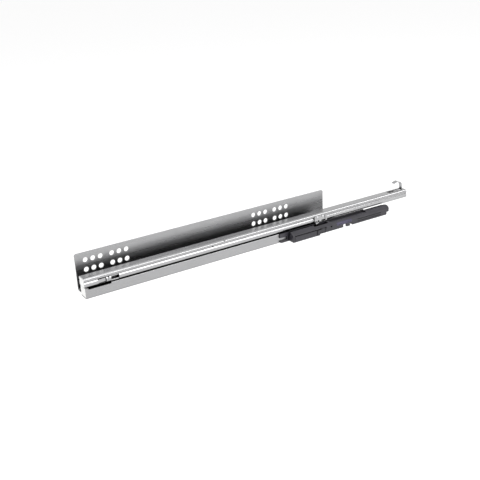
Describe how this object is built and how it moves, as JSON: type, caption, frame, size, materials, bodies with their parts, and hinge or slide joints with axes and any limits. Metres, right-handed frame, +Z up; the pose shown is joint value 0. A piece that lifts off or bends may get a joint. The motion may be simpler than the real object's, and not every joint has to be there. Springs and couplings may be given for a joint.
{
  "type": "undermount drawer slide",
  "caption": "Left-hand concealed undermount drawer slide: holed cabinet bracket, ball-guided drawer profile with rear hook, and dark soft-close unit with catch and damper.",
  "frame": {"origin": "centre of the front screw-hole group, on the face of the bracket that lies against the cabinet side", "axes": "+X along the runner to the back of the cabinet (the drawer opens towards -X), +Y out of the bracket into the cabinet side, +Z up"},
  "size_m": [0.47, 0.0406, 0.0432],
  "materials": {
    "bracket_steel": "zinc-plated sheet, satin",
    "rail_steel": "zinc-plated rolled profile, bright satin",
    "rivet_steel": "zinc-plated",
    "ball_steel": "polished bearing steel",
    "pin_steel": "ground pin",
    "spring_steel": "drawn spring wire",
    "white_nylon": "moulded nylon",
    "grey_buffer": "soft elastomer",
    "cage_plastic": "moulded acetal",
    "dark_plastic": "anthracite glass-filled nylon",
    "violet_plastic": "dark violet-grey moulded plastic",
    "cylinder_plastic": "moulded acetal",
    "claw_plastic": "moulded acetal",
    "seal_rubber": "seal rubber"
  },
  "bodies": {
    "cabinet_side": {"cabinet_bracket": "bracket_steel", "guide_rail": "rail_steel", "guide_rail_rivets": "rivet_steel", "guide_end_cap": "white_nylon", "stop_buffer": "grey_buffer", "damper_housing": "dark_plastic", "damper_cover": "dark_plastic", "cover_rivets": "rivet_steel", "spring_cover": "violet_plastic", "damper_cylinder": "cylinder_plastic", "rod_seal": "seal_rubber", "cylinder_plug": "cylinder_plastic", "closing_spring": "spring_steel"},
    "drawer_side": {"drawer_profile": "rail_steel", "activator": "rail_steel", "activator_rivets": "rivet_steel", "drawer_end_cap": "white_nylon"},
    "cage": {"ball_cage": "cage_plastic", "upper_balls": "ball_steel", "lower_balls": "ball_steel"},
    "carriage": {"catch_carriage": "dark_plastic", "catch_pin": "pin_steel", "piston_rod": "pin_steel", "piston": "cylinder_plastic"},
    "claw": {"catch_claw": "claw_plastic"}
  },
  "joints": [
    {"name": "drawer_slide", "type": "slide", "parent": "cabinet_side", "child": "drawer_side", "axis": [-1, 0, 0], "range_m": [0, 0.35]},
    {"name": "cage_slide", "type": "slide", "parent": "cabinet_side", "child": "cage", "axis": [-1, 0, 0], "range_m": [0, 0.175]},
    {"name": "catch_slide", "type": "slide", "parent": "cabinet_side", "child": "carriage", "axis": [-1, 0, 0], "range_m": [0, 0.034], "stiffness_N_per_m": 250, "springref_m": -0.04, "deforming": ["closing_spring"]},
    {"name": "claw_tilt", "type": "hinge", "parent": "carriage", "child": "claw", "pos_m": [0.285, -0.0326, -0.0222], "axis": [0, -1, 0], "range_deg": [0, 5], "stiffness_Nm_per_rad": 0.02, "springref_deg": -28.65}
  ],
  "couplings": [
    {"joint": "cage_slide", "follows": "drawer_slide", "ratio": 0.5}
  ]
}
